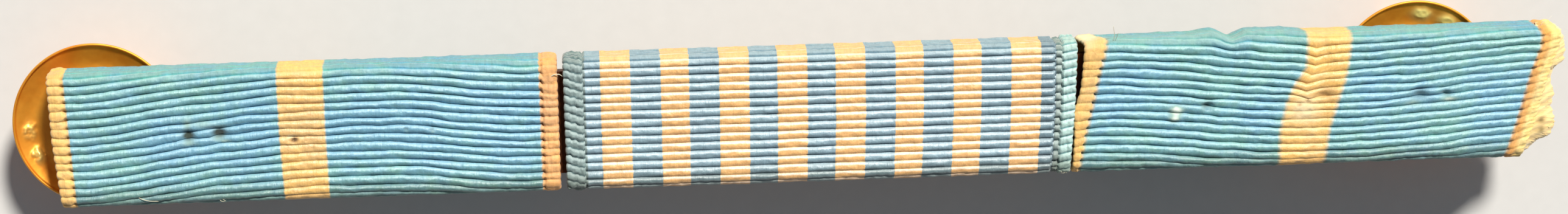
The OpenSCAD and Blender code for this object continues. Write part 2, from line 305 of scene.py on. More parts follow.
def wound_ribbon(name, look, material):
    across_1, depth_1, out_1, outer_n, turn_n = ring_columns()
    rows = []
    for i in range(RIBS):
        hidden = abs((i + 0.5) * PITCH - CLOTH_END) > BACK_START
        rows += [i + phase for phase in (BACK_PHASES if hidden else FACE_PHASES)]
    rows.append(RIBS)
    rib, across = np.meshgrid(rows, across_1, indexing="ij")
    depth, out = np.broadcast_to(depth_1, rib.shape), np.broadcast_to(out_1, rib.shape)
    from_right = RIBBON_W - across

    # How the ribs run: the climb from the tables, creases, and a little waviness
    start = rib * PITCH - CLOTH_END
    share = np.clip(start / FRONT_END * 0.5 + 0.5, 0, 1)
    stations = look["rise"][0]
    x_front = place_across(look, across, np.clip(start / HALF_H, -1, 1), 0)
    low, mid, high = (softened(stations, row, x_front, look["soft"]) for row in look["rise"][1:])
    rise = np.where(share < 0.5, low + (mid - low) * share * 2, mid + (high - mid) * (share * 2 - 1))
    for crease_x, crease_low, crease_high, crease_depth in look.get("creases", []):
        span = smooth((start - crease_low) / 0.8) * smooth((crease_high - start) / 0.8)
        rise = rise - crease_depth * span * np.exp(-np.abs(x_front - crease_x) / 0.7)
    wave = look["wave"]
    rise = rise + wave * noise(across / 2.3, rib * 0.45, look["seed"])
    rise = rise + wave * 0.7 * noise(across / 3.1, rib * 1.01, look["seed"] + 1)
    rise = rise + wave * 0.5 * noise(across / 1.2, np.round(rib) * 1.7, look["seed"] + 4)
    rise = rise + wave * 0.3 * noise(across / 0.5, np.round(rib) * 1.7, look["seed"] + 7)
    hold = np.minimum(1, (CLOTH_END - np.abs(start)) / (FLAP + TURN))
    along = start + rise * hold
    for pull_x, pull_y, half_w, half_h, much in look.get("pulls", []):
        near = bell(np.hypot((x_front - pull_x) / half_w, (along - pull_y) / half_h))
        along = along - much * (along - pull_y) / half_h * near

    # Where it lies
    y0, z0 = path_point(along, 0 * along)
    height = y0 / HALF_H
    deep = np.clip((PACK_T - FOLD_R - z0) / (PACK_T - 2 * FOLD_R), 0, 1)
    place = place_across(look, across, height, deep)
    front = (deep <= 0) * out
    seen = (np.abs(along) < SIDE_END) * out

    # The weave: a groove between each two ribs, changed towards both woven edges
    shift_l, depth_l, sink_l, push_l = look["left_edge"](across, rib)
    shift_r, depth_r, sink_r, push_r = look["right_edge"](from_right, rib)
    count = rib + shift_l + shift_r
    x = 2 * (count % 1) - 1
    lean = x + 0.2 * (1 - x * x) * noise(across / 1.7, np.floor(count) * 3.3, look["seed"] + 6)
    dome = (1 - np.sqrt(1 - ROUND * np.square(lean))) / (1 - math.sqrt(1 - ROUND))
    groove = DOME * dome + GROOVE * bell((1 - np.abs(x)) / 0.14)
    groove = groove * (1 + 0.4 * noise(across / 1.1, np.round(count) * 1.9, look["seed"] + 2))
    for low, high in look["stripes"]:
        inside = smooth((across - low) / 0.2 + 0.5) * smooth((high - across) / 0.2 + 0.5)
        groove = groove * (1 - look["stripes_flat"] * inside)
    flat = np.clip(spots(look, "flat", place, y0), 0, 0.95) * front
    far = np.abs(along)
    fold_flat = 0.45 * smooth((far / FRONT_END - 0.98) / 0.1) * (far < SIDE_START + 0.5)
    groove = groove * (1 - flat) * (1 - fold_flat)
    crest = 0.035 * noise(across / 0.6, np.floor(count) * 7.3, look["seed"] + 3) * (1 - x * x)
    crest = crest + 0.025 * noise(across / 0.3, rib * 2.9, look["seed"] + 5)
    relief = groove * depth_l * depth_r + sink_l + sink_r + crest
    sunk = depth + out * relief - (1 - out) * groove * 0.5 * (np.minimum(across, from_right) < 9)
    sunk = sunk + front * spots(look, "pits", place, y0)
    y, z = path_point(along, sunk)
    lift = softened(look["swell"][0], look["swell"][1], place, 0.25)
    face = softened(look["swell"][0], look["swell"][2], place, 0.35)
    on_face = np.clip((z - (PACK_T - 1)) / 1, 0, 1.2)
    y = y + lift * np.power(np.maximum(y, 0) / HALF_H, 6)
    z = z + face * on_face * (1 - 0.5 * np.power(np.minimum(np.abs(y) / HALF_H, 1), 4))
    side_w = 1 - 0.6 * deep
    place = place - push_l * bell(across / 0.35) * side_w + push_r * bell(from_right / 0.35) * side_w

    points = np.stack([place + look["x"], y + MID_Y, z + BACK_Z], -1).reshape(-1, 3)

    # What the material needs: place in the weave, where it is pale or bluer, and dark spots of painted
    # shade
    tongue = 0.12 * (1 - x * x)
    colour_at = across - tongue * bell((across - 1.25) / 0.3)
    colour_at = colour_at + tongue * bell((from_right - 1.25) / 0.3)
    fold = along / FRONT_END
    weave = np.stack([colour_at, count, fold], -1).reshape(-1, 3)
    shade_spot_mask = np.clip(spots(look, "shade_spots", place, along) * seen, 0, 1)
    pale = np.clip(spots(look, "pale_spots", place, along) * seen, 0, 2)
    blue = np.clip(0.3 + spots(look, "blues", place, y0), 0, 1)
    wear_and_painted_light = np.stack([shade_spot_mask, pale, blue], -1).reshape(-1, 3)

    n_row, n_col = rib.shape
    index = np.arange(n_row * n_col).reshape(n_row, n_col)
    nxt = np.roll(index, -1, axis=1)
    quads = np.stack([index[:-1], nxt[:-1], nxt[1:], index[1:]], -1).reshape(-1, 4)
    faces = quads.tolist()
    right_arc = outer_n + turn_n
    for row, flip in ((0, True), (n_row - 1, False)):
        ring = index[row].tolist()
        outer = ring[:right_arc - turn_n // 2]
        inner = ring[right_arc - turn_n // 2 - 1:]
        inner = [ring[0]] + inner[::-1]
        faces += zip_strip(outer, inner, flip)
    return mesh_object(name, points, faces, material, {"weave": weave, "wear_and_painted_light": wear_and_painted_light})


# ---- Materials --------------------------------------------------------------------------------

def srgb(r, g, b):
    """A colour as it looks on screen, 0 to 255, turned into the linear one that shaders take."""
    linear = [c / 255 / 12.92 if c / 255 <= 0.04045 else ((c / 255 + 0.055) / 1.055) ** 2.4
              for c in (r, g, b)]
    return (*linear, 1)


class Nodes:
    """Short names for building a node tree."""

    def __init__(self, name):
        self.material = bpy.data.materials.new(name)
        self.material.use_nodes = True
        self.tree = self.material.node_tree
        self.shader = self.tree.nodes["Principled BSDF"]

    def add(self, kind, **settings):
        node = self.tree.nodes.new(kind)
        for key, value in settings.items():
            setattr(node, key, value)
        return node

    def link(self, source, target):
        if hasattr(source, "is_output"):
            self.tree.links.new(source, target)
        else:
            target.default_value = source

    def math(self, operation, *values, clamp=False):
        node = self.add("ShaderNodeMath", operation=operation, use_clamp=clamp)
        for value, socket in zip(values, node.inputs):
            self.link(value, socket)
        return node.outputs[0]

    def times(self, a, b, clamp=False):
        return self.math("MULTIPLY", a, b, clamp=clamp)

    def scaled(self, value, factor, offset, clamp=False):
        return self.math("MULTIPLY_ADD", value, factor, offset, clamp=clamp)

    def mix(self, factor, a, b, blend="MIX"):
        node = self.add("ShaderNodeMix", data_type="RGBA", blend_type=blend)
        self.link(factor, node.inputs["Factor"])
        self.link(a, node.inputs["A"])
        self.link(b, node.inputs["B"])
        return node.outputs["Result"]

    def tinted(self, colour, tint):
        return self.mix(1.0, colour, tint, "MULTIPLY")

    def gamma(self, colour, power):
        node = self.add("ShaderNodeGamma")
        self.link(colour, node.inputs["Color"])
        node.inputs["Gamma"].default_value = power
        return node.outputs[0]

    def noise(self, vector, scale, detail=2, roughness=0.5):
        node = self.add("ShaderNodeTexNoise")
        self.link(vector, node.inputs["Vector"])
        node.inputs["Scale"].default_value = scale
        node.inputs["Detail"].default_value = detail
        node.inputs["Roughness"].default_value = roughness
        return node.outputs["Fac"]

    def attribute(self, name):
        node = self.add("ShaderNodeAttribute", attribute_name=name)
        split = self.add("ShaderNodeSeparateXYZ")
        self.link(node.outputs["Vector"], split.inputs[0])
        return split.outputs

    def vector(self, x, y, z=0.0):
        node = self.add("ShaderNodeCombineXYZ")
        for value, socket in zip((x, y, z), node.inputs):
            self.link(value, socket)
        return node.outputs[0]

    def fixed(self, name, value):
        """Sets a number on the shader's own socket, where the export needs it."""
        self.shader.inputs[name].default_value = value

    def bump(self, height, strength, distance):
        node = self.add("ShaderNodeBump")
        self.link(height, node.inputs["Height"])
        node.inputs["Strength"].default_value = strength
        node.inputs["Distance"].default_value = distance
        self.link(node.outputs[0], self.shader.inputs["Normal"])


def fabric(name, bands, soft, teal, hollow_shade, gloss, painted_shine, crisp, pastel, ragged_by, grain):
    """Ribbed ribbon. Bands are (end, colour) from the left edge, in mm across the flat ribbon.

    Soft is the width over which two bands blend, teal the tint of the teal patches and hollow that
    of the painted shade in the grooves. Gloss is the specular level. Crisp, pastel, ragged_by and
    shine say how sharp, how pale, how uneven and how white the painted highlight on each rib is,
    and grain how spotted it is.
    """
    n = Nodes(name)
    across, rib, fold = n.attribute("weave")
    shade_spot_mask, pale, blue = n.attribute("wear_and_painted_light")

    def cloth_noise(across_scale, rib_scale, detail):
        at = n.vector(n.times(across, across_scale), n.times(rib, rib_scale))
        return n.noise(at, 1.0, detail, 0.6)

    in_rib = n.times(n.math("FLOOR", rib), 7.31)
    uneven = cloth_noise(0.5, 0.4, 2)
    bundles = n.noise(n.vector(n.times(across, 4.5), in_rib), 1.0, 1, 0.6)
    threads = n.noise(n.vector(n.times(across, 16), in_rib), 1.0, 2, 0.6)
    lumps = cloth_noise(3.0, 1.6, 2)
    fuzz = cloth_noise(13, 6, 2)
    patch = cloth_noise(0.30, 0.22, 3)
    dabs = cloth_noise(1.1, 0.9, 1)

    # The stripes, each edge a little uneven from thread to thread
    place = n.math("ADD", across, n.times(n.math("SUBTRACT", lumps, 0.5), 0.16))
    ramp = n.add("ShaderNodeValToRGB")
    n.link(n.math("DIVIDE", place, RIBBON_W), ramp.inputs[0])
    stops = ramp.color_ramp.elements
    stops[0].position, stops[0].color = 0, bands[0][1]
    stops.remove(stops[1])
    if soft == 0:
        ramp.color_ramp.interpolation = "CONSTANT"
    for (end, colour), (_, after) in zip(bands, bands[1:]):
        if soft > 0:
            stops.new((end - soft / 2) / RIBBON_W).color = colour
        stops.new((end + soft / 2) / RIBBON_W).color = after
    colour = ramp.outputs[0]

    # Blue turns to teal in patches and threads differ
    tealness = n.math("SUBTRACT", 1.0, blue)
    tealness = n.math("ADD", tealness, n.scaled(patch, 1.8, -0.9))
    tealness = n.math("ADD", tealness, n.scaled(dabs, 1.4, -0.7), clamp=True)
    colour = n.mix(tealness, colour, n.tinted(colour, teal))
    middle = n.math("ABSOLUTE", n.math("SUBTRACT", across, RIBBON_W / 2))
    at_edge = n.math("GREATER_THAN", middle, RIBBON_W / 2 - 1.3)
    strokes = n.scaled(uneven, 1.6, -0.3, clamp=True)
    strokes = n.scaled(at_edge, 0.6, strokes)
    contrast = n.scaled(strokes, 0.34, 0.07)
    tone = n.times(n.math("SUBTRACT", threads, 0.5), contrast)
    tone = n.math("ADD", tone, 1.0)
    tone = n.times(tone, n.scaled(bundles, 0.26, 0.87))
    tone = n.times(tone, n.scaled(lumps, 0.30, 0.85))
    tone = n.times(tone, n.scaled(fuzz, grain, 1 - grain / 2))
    tone = n.times(tone, n.scaled(patch, 0.24, 0.88))
    colour = n.tinted(colour, n.vector(tone, tone, tone))
    split = n.add("ShaderNodeSeparateColor")
    n.link(ramp.outputs[0], split.inputs[0])
    warm = n.times(n.math("SUBTRACT", split.outputs[0], split.outputs[2]), 4, clamp=True)
    # The upper part of each rib is painted lighter, and by shine whiter: a painted highlight.
    flank = n.math("FRACT", rib)
    ragged = n.math("ADD", flank, n.scaled(threads, 0.16 * ragged_by, -0.08 * ragged_by))
    ragged = n.math("ADD", ragged, n.scaled(lumps, 0.34 * ragged_by, -0.17 * ragged_by))
    crest = n.times(n.scaled(ragged, crisp, 1 - 0.73 * crisp, clamp=True),
                   n.scaled(flank, -9.0, 9.0, clamp=True))
    lighter = n.tinted(n.gamma(colour, 0.75), (1.12, 1.12, 1.12, 1))
    paler = n.scaled(warm, 0.05 - pastel, pastel)
    colour = n.mix(n.times(crest, paler), colour, lighter)
    white_highlight = n.scaled(warm, painted_shine * 0.75, painted_shine * 0.25)
    white_highlight = n.times(white_highlight, n.scaled(at_edge, -0.8, 1.0))
    colour = n.mix(n.times(crest, white_highlight), colour, (0.9, 0.9, 0.86, 1))
    # Grooves and the lower half of each rib are darkened and tinted by hollow: painted shade.
    edge = n.scaled(flank, 22, -21, clamp=True)
    painted_under_shade = n.scaled(flank, -3.4, 1.0, clamp=True)
    groove = n.math("MAXIMUM", edge, painted_under_shade)
    groove = n.times(groove, n.scaled(warm, -0.72, 0.8))
    shaded_colour = n.tinted(n.gamma(colour, 1.7), hollow_shade)
    colour = n.mix(groove, colour, shaded_colour)
    # Towards both folds the colour is darkened: painted shade.
    in_fold = n.scaled(n.math("ABSOLUTE", fold), 5, -5.1, clamp=True)
    colour = n.mix(in_fold, colour, n.tinted(colour, (0.92, 0.87, 0.82, 1)))
    # The lowest rows, on the lower fold, are darkened: painted shade.
    painted_low_shade = n.scaled(fold, -4.2, -3.3, clamp=True)
    painted_low_shade = n.times(painted_low_shade, n.scaled(warm, -0.6, 0.85))
    colour = n.mix(painted_low_shade, colour, n.tinted(colour, (0.50, 0.50, 0.44, 1)))
    # Pale spots: frayed and faded threads, and on the right ribbon's upper fold a painted highlight.
    pale_spots = n.times(pale, n.scaled(lumps, 1.0, 0.5), clamp=True)
    colour = n.mix(pale_spots, colour, n.mix(warm, srgb(140, 172, 164), srgb(226, 202, 156)))
    bleached = n.math("SUBTRACT", pale, 1.0, clamp=True)
    colour = n.mix(bleached, colour, n.mix(warm, srgb(214, 226, 212), srgb(238, 214, 160)))
    # Dark spots in needle holes, creases and puckers: painted shade.
    spot_shading = n.times(shade_spot_mask, n.scaled(lumps, 0.5, 0.75), clamp=True)
    colour = n.mix(spot_shading, colour, n.mix(warm, srgb(40, 54, 44), srgb(84, 56, 22)))
    n.link(colour, n.shader.inputs["Base Color"])

    rough = n.math("ADD", n.times(pale, 0.3), n.times(threads, 0.3))
    rough = n.math("ADD", rough, n.times(in_fold, 0.25))
    rough = n.math("ADD", rough, n.times(at_edge, 0.22))
    rough = n.math("ADD", rough, n.times(spot_shading, 0.4))
    n.link(n.math("ADD", rough, 0.38), n.shader.inputs["Roughness"])
    n.fixed("IOR", 1.7)
    n.fixed("Specular IOR Level", gloss)
    n.fixed("Sheen Weight", 0.2)
    n.fixed("Sheen Roughness", 0.5)
    relief = n.times(threads, n.scaled(strokes, 0.4, 0.05))
    relief = n.math("ADD", relief, n.times(fuzz, 0.4))
    relief = n.math("ADD", relief, n.times(bundles, 0.7))
    relief = n.math("ADD", relief, n.times(lumps, 1.8))
    n.bump(relief, 0.7, 0.04 * MM)
    return n.material


def brass(name, base, deep, rough, metal):
    """Old gilt brass: warm, with darker tarnish, fine scratches and small dents."""
    n = Nodes(name)
    where = n.add("ShaderNodeTexCoord").outputs["Object"]
    cloud = n.noise(where, 420, 4, 0.6)
    grain = n.noise(where, 5200, 3, 0.6)
    blotch = n.scaled(cloud, 2.4, -0.75, clamp=True)
    mark = n.attribute("wear_and_painted_light")[0]
    # The raised marks are painted pale yellow and less metallic: a painted reflection.
    painted_glint = n.times(mark, 1.5, clamp=True)
    colour = n.mix(painted_glint, n.mix(blotch, base, deep), srgb(255, 234, 140))
    n.link(colour, n.shader.inputs["Base Color"])
    n.link(n.scaled(mark, -0.45, metal, clamp=True), n.shader.inputs["Metallic"])
    dulled = n.scaled(cloud, 0.28, rough - 0.14)
    n.link(n.scaled(mark, -0.2, dulled, clamp=True), n.shader.inputs["Roughness"])
    n.bump(n.scaled(grain, 0.3, cloud), 0.35, 0.04 * MM)
    return n.material


# ---- Camera, floor and light ------------------------------------------------------------------

AIM = Vector((LEFT_X + 49.248, MID_Y + 0.802, FACE_Z)) * MM
DISTANCE = 220 * MM
TILT, YAW, ROLL = (math.radians(a) for a in (13, 3.5, -1.1556))
PHOTO_W = 2576
FOCAL_PX = 5330.5


def make_camera():
    camera = bpy.data.cameras.new("camera")
    camera.sensor_width = 36
    camera.lens = FOCAL_PX / PHOTO_W * camera.sensor_width
    camera.clip_start = 0.01
    holder = bpy.data.objects.new("camera", camera)
    bpy.context.scene.collection.objects.link(holder)
    back = Vector((-math.sin(YAW) * math.cos(TILT), math.sin(TILT), math.cos(YAW) * math.cos(TILT)))
    right = Vector((0, 1, 0)).cross(back).normalized()
    up = back.cross(right)
    turned_right = right * math.cos(ROLL) + up * math.sin(ROLL)
    turned_up = up * math.cos(ROLL) - right * math.sin(ROLL)
    turn = Matrix((turned_right, turned_up, back)).transposed()
    holder.matrix_world = Matrix.Translation(AIM + back * DISTANCE) @ turn.to_4x4()
    bpy.context.scene.camera = holder


def make_floor():
    bpy.ops.mesh.primitive_plane_add(size=3, location=(0, 0, 0))
    floor = bpy.context.active_object
    floor.name = "floor"
    n = Nodes("floor_paper")
    where = n.add("ShaderNodeTexCoord").outputs["Object"]
    grain = n.noise(where, 900, 3)
    n.link(n.mix(grain, srgb(204, 202, 198), srgb(210, 208, 204)), n.shader.inputs["Base Color"])
    n.fixed("Roughness", 0.9)
    floor.data.materials.append(n.material)


def make_light():
    scene = bpy.context.scene
    world = bpy.data.worlds.new("studio")
    world.use_nodes = True
    background = world.node_tree.nodes["Background"]
    background.inputs["Color"].default_value = (0.80, 0.88, 1.0, 1)
    background.inputs["Strength"].default_value = 0.20
    scene.world = world
    sun = bpy.data.lights.new("key", "SUN")
    sun.energy = 5.3
    sun.angle = math.radians(9)
    sun.color = (1.0, 0.97, 0.92)
    key = bpy.data.objects.new("key", sun)
    key.rotation_euler = Vector((0.36, 0.95, 0.98)).to_track_quat("Z", "Y").to_euler()
    scene.collection.objects.link(key)
    scene.view_settings.view_transform = "Standard"


make_camera()
make_floor()
make_light()

# ---- The three ribbons --------------------------------------------------------------------------

BLUE = srgb(102, 153, 175)
GOLD = srgb(219, 176, 111)
ORANGE = srgb(216, 160, 104)
BROWN = srgb(212, 154, 84)
STRIPE_BLUE = srgb(134, 160, 174)
SHADE_BLUE = srgb(112, 137, 150)
STRIPE_GOLD = srgb(234, 178, 112)
CREAM = srgb(228, 200, 136)
GREY_TEAL = srgb(164, 194, 190)
GREY = srgb(124, 143, 143)
GREY_BRAID = srgb(134, 150, 147)
TEAL_TINT = (1.17, 1.09, 0.76, 1)
PLAIN_TINT = (0.97, 1.0, 0.95, 1)
BLUE_SHADE_TINT = (1.3, 2.4, 2.4, 1)
GREY_SHADE_TINT = (0.1, 0.65, 0.85, 1)

# Places across the flat ribbon, from its left edge: woven edges, and the blue ribbons' gold stripe
WOVEN_W = 34.9
EDGE_END = 1.25
STRIPE = (15.88, 19.03)
BODY_END = 33.65
BLUE_MARKS = [0, EDGE_END, *STRIPE, BODY_END, WOVEN_W]
BLUE_BANDS = [(EDGE_END, GOLD), (STRIPE[0], BLUE), (STRIPE[1], GOLD), (BODY_END, BLUE)]
BLUE_WEAVE = {
    "teal": TEAL_TINT, "hollow_shade": BLUE_SHADE_TINT, "crisp": 7, "pastel": 0.85, "ragged_by": 1.0,
    "grain": 0.24,
}
left_cloth = fabric(
    "left_ribbon_weave", BLUE_BANDS + [(WOVEN_W, ORANGE)],
    soft=0.06, gloss=0.6, painted_shine=0.06, **BLUE_WEAVE)
right_cloth = fabric(
    "right_ribbon_weave", BLUE_BANDS + [(34.2, BROWN), (WOVEN_W, CREAM)],
    soft=0.34, gloss=0.5, painted_shine=0.05, **BLUE_WEAVE)

# The middle ribbon's narrow stripes are gold and blue by turns
STRIPE_STEP = 1.99
FIRST_GOLD_END = 4.45
GOLD_STRIPES = [
    (FIRST_GOLD_END + (2 * i - 1) * STRIPE_STEP, FIRST_GOLD_END + 2 * i * STRIPE_STEP) for i in range(8)
]
MIDDLE_BANDS = [(EDGE_END, GREY), (2.45, STRIPE_BLUE)]
for i in range(15):
    MIDDLE_BANDS.append((FIRST_GOLD_END + STRIPE_STEP * i, STRIPE_BLUE if i % 2 else STRIPE_GOLD))
# Beside the braid the blue band is darker, painted shade; the braid's inner row is a darker grey,
# partly its own colour and partly painted shade.
MIDDLE_BANDS += [(33.42, SHADE_BLUE), (33.92, GREY_BRAID), (WOVEN_W, GREY_TEAL)]
middle_cloth = fabric(
    "middle_ribbon_weave", MIDDLE_BANDS, soft=0, teal=PLAIN_TINT, hollow_shade=GREY_SHADE_TINT, gloss=0.75,
    painted_shine=0.42, crisp=12, pastel=0.55, ragged_by=0.35, grain=0.5)

# How each ribbon is made. Stripes have shallower grooves, by stripes_flat. Marks are places across
# the flat ribbon, and front and back give where they lie at each height from -1 to 1. The rows
# of rise are places, then how far the ribs climb there at the lower fold, in the middle and at the
# upper fold. The rows of swell are places, how far the upper fold swells and how proud the face is.

LEFT = {
    "x": LEFT_X, "seed": 101, "wave": 0.05, "soft": 0.7,
    "left_edge": beads, "right_edge": cells, "stripes": [STRIPE], "stripes_flat": 0.42,
    "marks": BLUE_MARKS,
    "front": [
        [-1.0, 0.52, 1.36, 15.36, 18.40, 32.87, 33.96],
        [-0.9, 0.46, 1.32, 15.35, 18.38, 32.87, 33.96],
        [0.0, 0.10, 1.14, 15.21, 18.31, 32.87, 33.96],
        [0.9, 0.00, 0.96, 15.21, 18.31, 32.87, 33.96],
    ],
    "rise": [
        [0, 2.14, 3.35, 5.77, 8.2, 10.63, 13.06, 15.5, 17.94, 20.38, 22.82, 25.27, 27.73, 30.18,
         31.41, 34],
        [0, 0, .07, .32, .71, 1.02, 1.16, 1.34, 1.41, 1.40, 1.36, 1.24, .92, .69, .65, .60],
        [0, 0, .08, .33, .67, .86, 1.12, 1.29, 1.23, 1.33, 1.28, 1.12, .81, .54, .45, .40],
        [0, 0, .10, .41, .68, .84, 1.11, 1.22, 1.20, 1.27, 1.29, 1.07, .76, .55, .42, .36],
    ],
    "swell": [[0, 7, 9, 11, 13, 22, 26, 34], [0] * 8, [0, 0, -.05, -.06, 0, .02, .03, 0]],
    "pits": [
        (9.16, 0.20, 0.40, 0.34, 0.44), (11.24, 0.28, 0.45, 0.34, 0.46),
        (16.19, -0.36, 0.24, 0.16, 0.34), (23.71, 0.17, 0.14, 0.14, 0.12),
        (25.42, 0.11, 0.14, 0.14, 0.12),
    ],
    "shade_spots": [
        (9.14, 0.14, 0.33, 0.26, 1.7), (11.20, 0.28, 0.38, 0.26, 1.7), (16.19, -0.38, 0.20, 0.13, 1.5),
        (23.71, 0.17, 0.14, 0.10, 0.6), (25.42, 0.08, 0.12, 0.10, 0.6), (10.75, 0.72, 0.5, 0.12, 0.5),
    ],
    "pale_spots": [
        (9.18, -0.32, 0.40, 0.24, 0.9), (9.10, 0.95, 0.24, 0.50, 0.8), (11.35, 0.72, 0.30, 0.12, 0.7),
        (11.05, -0.05, 0.40, 0.18, 0.8), (11.6, -0.28, 0.35, 0.12, 1.3), (10.2, 0.95, 0.9, 0.25, 0.6),
        (16.0, -0.10, 0.24, 0.11, 1.9), (23.75, -0.05, 0.12, 0.14, 0.5), (25.5, -0.10, 0.14, 0.12, 0.6),
    ],
    "pulls": [(9.16, 0.15, 0.9, 0.8, 0.18), (11.3, 0.25, 0.8, 0.8, 0.20)],
    "blues": [
        (9.5, -0.2, 4.5, 2.0, 0.7), (13.5, 1.0, 2.5, 2.6, 0.5), (22.0, 0.2, 6.0, 2.6, 0.8),
        (29.5, 0.2, 4.0, 2.6, 0.7), (32.0, 1.8, 2.0, 2.0, 0.5), (28, 4.3, 3, 0.7, 0.2),
        (17, 4.9, 18, 0.7, -0.1), (24, 5.2, 10, 0.8, 0.3),
    ],
    "flat": [(33.5, 3.9, 0.8, 0.6, 0.9)],
}
LEFT["back"] = LEFT["front"]

MIDDLE = {
    "x": MIDDLE_X, "seed": 201, "wave": 0.012, "soft": 0.7,
    "left_edge": rope, "right_edge": braid, "stripes": GOLD_STRIPES, "stripes_flat": 0.5,
    "marks": [0, EDGE_END, 33.45, WOVEN_W],
    "front": [
        [-0.9, 0.03, 1.27, 33.15, 34.41], [0, 0, 1.25, 33.40, 34.73], [0.9, 0, 1.25, 33.45, 34.9],
    ],
    "back": [
        [-0.9, 0.0, 1.25, 33.2, 34.48], [0, 0, 1.25, 33.40, 34.73], [0.9, 0, 1.25, 33.45, 34.9],
    ],
    "rise": [[0, 34.9], [0, 0], [0, 0], [0, 0]],
    "swell": [[0, 34.9], [0, 0], [0, 0]],
    "shade_spots": [(33.6, -3.6, 0.45, 1.0, 0.30), (33.6, -1.0, 0.25, 2.2, 0.12)],
}

RIGHT = {
    "x": RIGHT_X, "seed": 301, "wave": 0.055, "soft": 0.5,
    "left_edge": blocks, "right_edge": ribbed, "stripes": [STRIPE], "stripes_flat": 0.42,
    "marks": BLUE_MARKS,
    "front": [
        [-0.95, -0.74, -0.37, 13.55, 16.74, 29.41, 30.50],
        [-0.45, -0.60, 0.05, 13.58, 17.05, 30.13, 31.32],
        [-0.05, -0.62, 0.50, 13.98, 17.57, 30.61, 31.80],
        [0.25, -0.20, 0.80, 14.56, 18.00, 30.98, 32.17],
        [0.50, -0.05, 1.05, 15.35, 18.25, 31.35, 32.50],
        [0.70, 0.02, 1.28, 15.40, 18.35, 31.72, 32.90],
        [0.90, 0.10, 1.50, 15.45, 18.45, 31.74, 32.96],
        [1.00, 0.10, 1.55, 15.45, 18.45, 31.50, 32.70],
    ],
    "back": [
        [-0.95, -0.63, 0.55, 13.6, 16.8, 29.9, 31.10],
        [-0.82, -0.56, 0.60, 13.6, 16.8, 30.6, 31.80],
        [-0.60, -0.48, 0.65, 13.7, 16.9, 31.3, 32.75],
        [-0.28, -0.35, 0.75, 14.0, 17.3, 31.2, 32.70],
        [0.28, -0.21, 0.85, 14.6, 18.0, 31.2, 32.70],
        [0.43, -0.24, 0.85, 15.0, 18.2, 31.9, 33.45],
        [0.80, -0.30, 0.80, 15.3, 18.3, 31.9, 33.30],
        [1.00, -0.30, 0.80, 15.4, 18.4, 31.5, 32.80],
    ],
    "rise": [
        [0, 2.47, 4.98, 7.5, 8.76, 10.02, 12.55, 15.08, 16.34, 17.61, 20.15, 22.69, 25.23, 27.78, 34],
        [0, 0, -.14, -.39, -.57, -.70, -.83, -.92, -.94, -.93, -.89, -.67, -.57, -.25, 0.1],
        [0, 0, -.17, -.39, -.53, -.68, -.88, -1.05, -1.12, -1.10, -1.12, -.98, -.81, -.52, -.2],
        [0, 0, -.19, -.39, -.49, -.72, -.99, -1.10, -1.22, -1.18, -1.14, -1.06, -.84, -.62, -.35],
    ],
    "swell": [
        [0, 7.6, 9.05, 10.25, 11.3, 13.9, 15.6, 16.5, 17.6, 20, 23, 25, 34],
        [0, .05, .26, -.32, .23, .2, 0, 0, 0, 0, 0, 0, 0],
        [0, 0, .08, -.10, .07, .05, -.03, -.14, .04, 0, -.05, 0, 0],
    ],
    "pits": [
        (6.38, -0.42, 0.38, 0.28, -0.18), (6.24, -0.98, 0.34, 0.22, -0.18),
        (8.55, -0.14, 0.34, 0.26, 0.36), (23.24, 0.20, 0.42, 0.36, 0.34),
        (25.05, 0.16, 0.30, 0.24, 0.30), (16.5, 0.36, 0.45, 0.18, 0.24),
        (15.5, -0.10, 0.14, 0.12, 0.18), (14.9, -0.30, 0.12, 0.10, 0.14),
    ],
    "shade_spots": [
        (8.50, -0.10, 0.32, 0.22, 0.8), (23.24, 0.16, 0.62, 0.32, 0.65),
        (25.05, 0.20, 0.38, 0.18, 0.65),
        (16.5, 0.34, 0.50, 0.18, 0.5), (15.5, -0.10, 0.16, 0.12, 0.6), (14.9, -0.30, 0.14, 0.10, 0.6),
        (15.6, -0.62, 0.12, 0.08, 0.4), (14.8, -0.75, 0.3, 0.08, 0.3), (24.2, -0.35, 0.5, 0.12, 0.25),
        (17.0, 0.60, 0.55, 0.35, 0.32),
    ],
    "pale_spots": [
        (6.38, -0.42, 0.42, 0.32, 2.6), (6.24, -0.98, 0.34, 0.22, 2.0), (6.33, -0.22, 0.10, 0.16, 0.6),
        (8.25, -0.20, 0.10, 0.30, 0.5), (22.75, -0.42, 0.50, 0.22, 1.0), (25.3, -0.24, 0.45, 0.18, 1.9),
        # The two spots at heights 5.0 and 4.9 lie on the upper fold and are a painted highlight.
        (15.2, -0.62, 0.95, 0.85, 1.05), (9, 5.0, 7, 0.7, 0.5), (24, 4.9, 5, 0.6, 0.25),
        (0.0, 5.8, 0.9, 0.9, 2.2), (0.3, 4.3, 0.5, 0.3, 0.4), (34.0, -4.4, 0.5, 0.7, 0.8),
    ],
    "pulls": [(8.5, -0.15, 0.9, 0.9, 0.15), (23.2, 0.1, 1.2, 1.1, 0.25), (25.1, 0.1, 1.0, 0.9, 0.2)],
    "creases": [(16.1, 0.8, 5.6, 0.30)],
    "blues": [
        (2.5, 0.9, 3.5, 2.4, 0.7), (12.0, -0.7, 2.5, 1.2, 0.7), (20, 0.8, 2.2, 1.6, 0.7),
        (23.5, 0.1, 2, 0.8, 0.6), (29.0, -0.6, 2.4, 2.2, 0.8), (31.0, 4.6, 2.5, 0.3, 0.5),
        (14, 4.8, 14, 0.6, -0.15), (27.5, 3.2, 4, 0.8, -0.1),
    ],
    "flat": [
        (0.6, 3.9, 1.1, 0.7, 0.9), (15.2, -0.60, 0.9, 0.8, 0.7), (3, 4.6, 4, 0.4, 0.6),
        (27, 0, 5, 6, 0.42),
    ],
}
NODE_OF = {"left": "ribbon_left", "middle": "ribbon_middle", "right": "ribbon_right"}
CLOTHS = {"left": (LEFT, left_cloth), "middle": (MIDDLE, middle_cloth), "right": (RIGHT, right_cloth)}
for side, (look, cloth) in CLOTHS.items():
    wound_ribbon(f"cloth_{side}", look, cloth)
    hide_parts(NODE_OF[side])

# ---- Frayed edge and loose fibres ---------------------------------------------------------------

